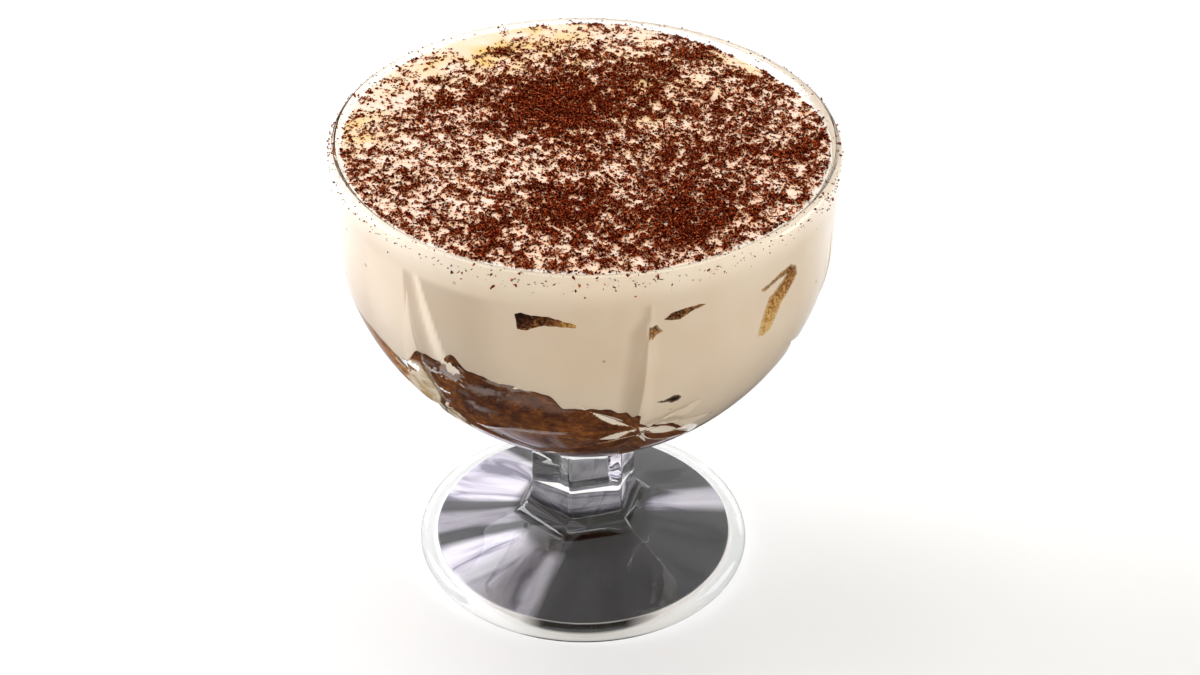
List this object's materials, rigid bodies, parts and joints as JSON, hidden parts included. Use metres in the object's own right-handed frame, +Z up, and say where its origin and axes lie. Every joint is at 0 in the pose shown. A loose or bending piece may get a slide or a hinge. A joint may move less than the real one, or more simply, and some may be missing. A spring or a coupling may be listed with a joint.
{
  "type": "tiramisu in a footed glass coupe",
  "caption": "Creamy layered dessert in a footed clear glass coupe with cut flutes and stars: soaked sponge below, pale cream above, grated dark chocolate over the top.",
  "frame": {"origin": "centre of the foot on the surface it stands on", "axes": "+Z up along the stem, -Y towards the front of the dessert, +X to its right"},
  "size_m": [0.104, 0.104, 0.105],
  "materials": {
    "glass": "clear pressed glass, polished",
    "cream": "soft whipped cream, satin",
    "sponge": "sponge soaked in coffee, moist",
    "biscuit": "baked biscuit, matt crumb",
    "chocolate": "grated dark chocolate, matt"
  },
  "bodies": {
    "root": {"glass": "glass", "cream": "cream", "sponge": "sponge", "biscuit_front": "biscuit", "biscuit_middle": "biscuit", "biscuit_crumb": "biscuit", "biscuit_right": "biscuit", "biscuit_low": "biscuit"}
  },
  "joints": []
}
